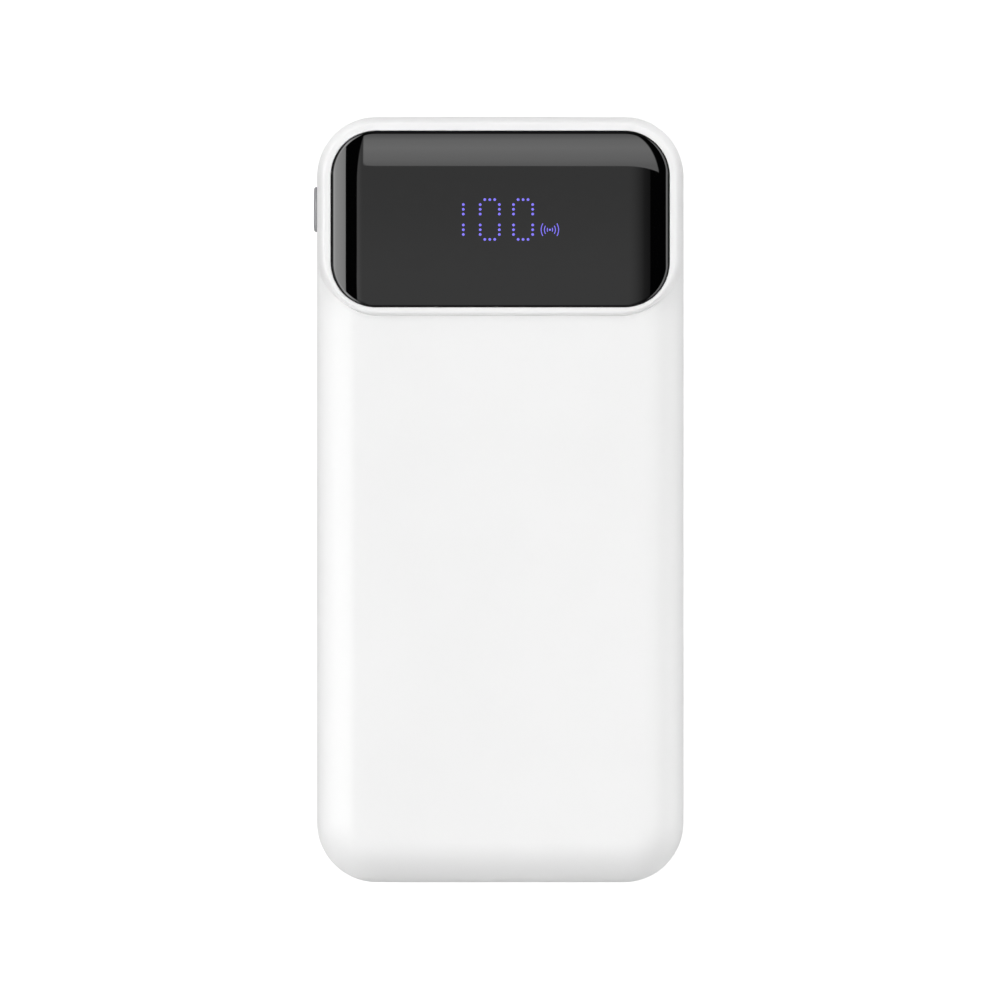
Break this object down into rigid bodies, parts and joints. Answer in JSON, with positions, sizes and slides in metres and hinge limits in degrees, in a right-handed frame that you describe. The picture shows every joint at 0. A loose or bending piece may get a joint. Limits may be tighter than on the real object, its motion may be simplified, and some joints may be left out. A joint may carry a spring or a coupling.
{
  "type": "power bank",
  "caption": "Slim white wireless power bank with a glossy black display window, a side power button and USB sockets in its end.",
  "frame": {"origin": "centre of the flat back face, on the surface it lies on", "axes": "+Z out of the display face, +Y towards the end with the sockets, +X to the right as the display is read"},
  "size_m": [0.0686, 0.142, 0.0168],
  "materials": {
    "white_shell": "satin white moulded ABS with a fine grain",
    "grey_button": "satin grey moulded plastic",
    "black_window": "polished smoke-black acrylic",
    "display_light": "violet-blue light from the display dots",
    "adhesive": "black foam adhesive tape",
    "film": "dark printed film",
    "display_block": "dark moulded display block",
    "board": "green solder mask over glass laminate",
    "steel": "formed, nickel-plated sheet",
    "gold": "gold-plated contacts",
    "black_plastic": "moulded black plastic",
    "white_plastic": "moulded white plastic",
    "ferrite": "dark grey sintered ferrite",
    "copper": "enamelled copper wire",
    "pouch": "satin aluminium laminate pouch",
    "tape": "amber polyimide tape",
    "foam": "black closed-cell foam",
    "nickel": "nickel strip",
    "red_wire": "red silicone insulation",
    "black_wire": "black silicone insulation",
    "solder": "tin solder"
  },
  "bodies": {
    "housing": {"front_shell": "white_shell", "back_shell": "white_shell", "display_window": "black_window", "window_adhesive": "adhesive", "light_mask_film": "film", "display_board": "board", "led_display_block": "display_block", "display_header": "black_plastic", "usb_a_left_shell": "steel", "usb_a_left_insulator": "white_plastic", "usb_a_right_shell": "steel", "usb_a_right_insulator": "white_plastic", "usb_c_shell": "steel", "usb_c_insulator": "black_plastic", "usb_c_riser": "black_plastic", "micro_usb_shell": "steel", "micro_usb_insulator": "black_plastic", "micro_usb_riser": "black_plastic", "switch_housing": "black_plastic", "main_board": "board", "power_inductor_1": "ferrite", "power_inductor_2": "ferrite", "bulk_capacitor_1": "steel", "bulk_capacitor_2": "steel", "power_controller_chip": "black_plastic", "wireless_driver_chip": "black_plastic", "power_mosfet_1": "black_plastic", "power_mosfet_2": "black_plastic", "board_screw_1": "steel", "board_screw_2": "steel", "board_screw_3": "steel", "board_screw_4": "steel", "battery_cell_lower": "pouch", "battery_cell_upper": "pouch", "cell_tape": "tape", "cell_foam_pad": "foam", "cell_tab_lower_left": "nickel", "cell_tab_lower_right": "nickel", "cell_tab_upper_left": "nickel", "cell_tab_upper_right": "nickel", "protection_board": "board", "battery_wire_red": "red_wire", "battery_wire_black": "black_wire", "charging_coil": "copper", "ferrite_sheet": "ferrite", "coil_lead_outer": "copper", "coil_lead_inner": "copper"},
    "power_button": {"power_button": "grey_button"},
    "switch_plunger": {"switch_plunger": "white_plastic"}
  },
  "joints": [
    {"name": "power_button_press", "type": "slide", "parent": "housing", "child": "power_button", "axis": [1, 0, 0], "range_m": [0, 0.0004], "stiffness_N_per_m": 800, "springref_m": -0.0003},
    {"name": "switch_plunger_press", "type": "slide", "parent": "housing", "child": "switch_plunger", "axis": [1, 0, 0], "range_m": [0, 0.0004]}
  ],
  "couplings": [
    {"joint": "switch_plunger_press", "follows": "power_button_press", "ratio": 1}
  ]
}
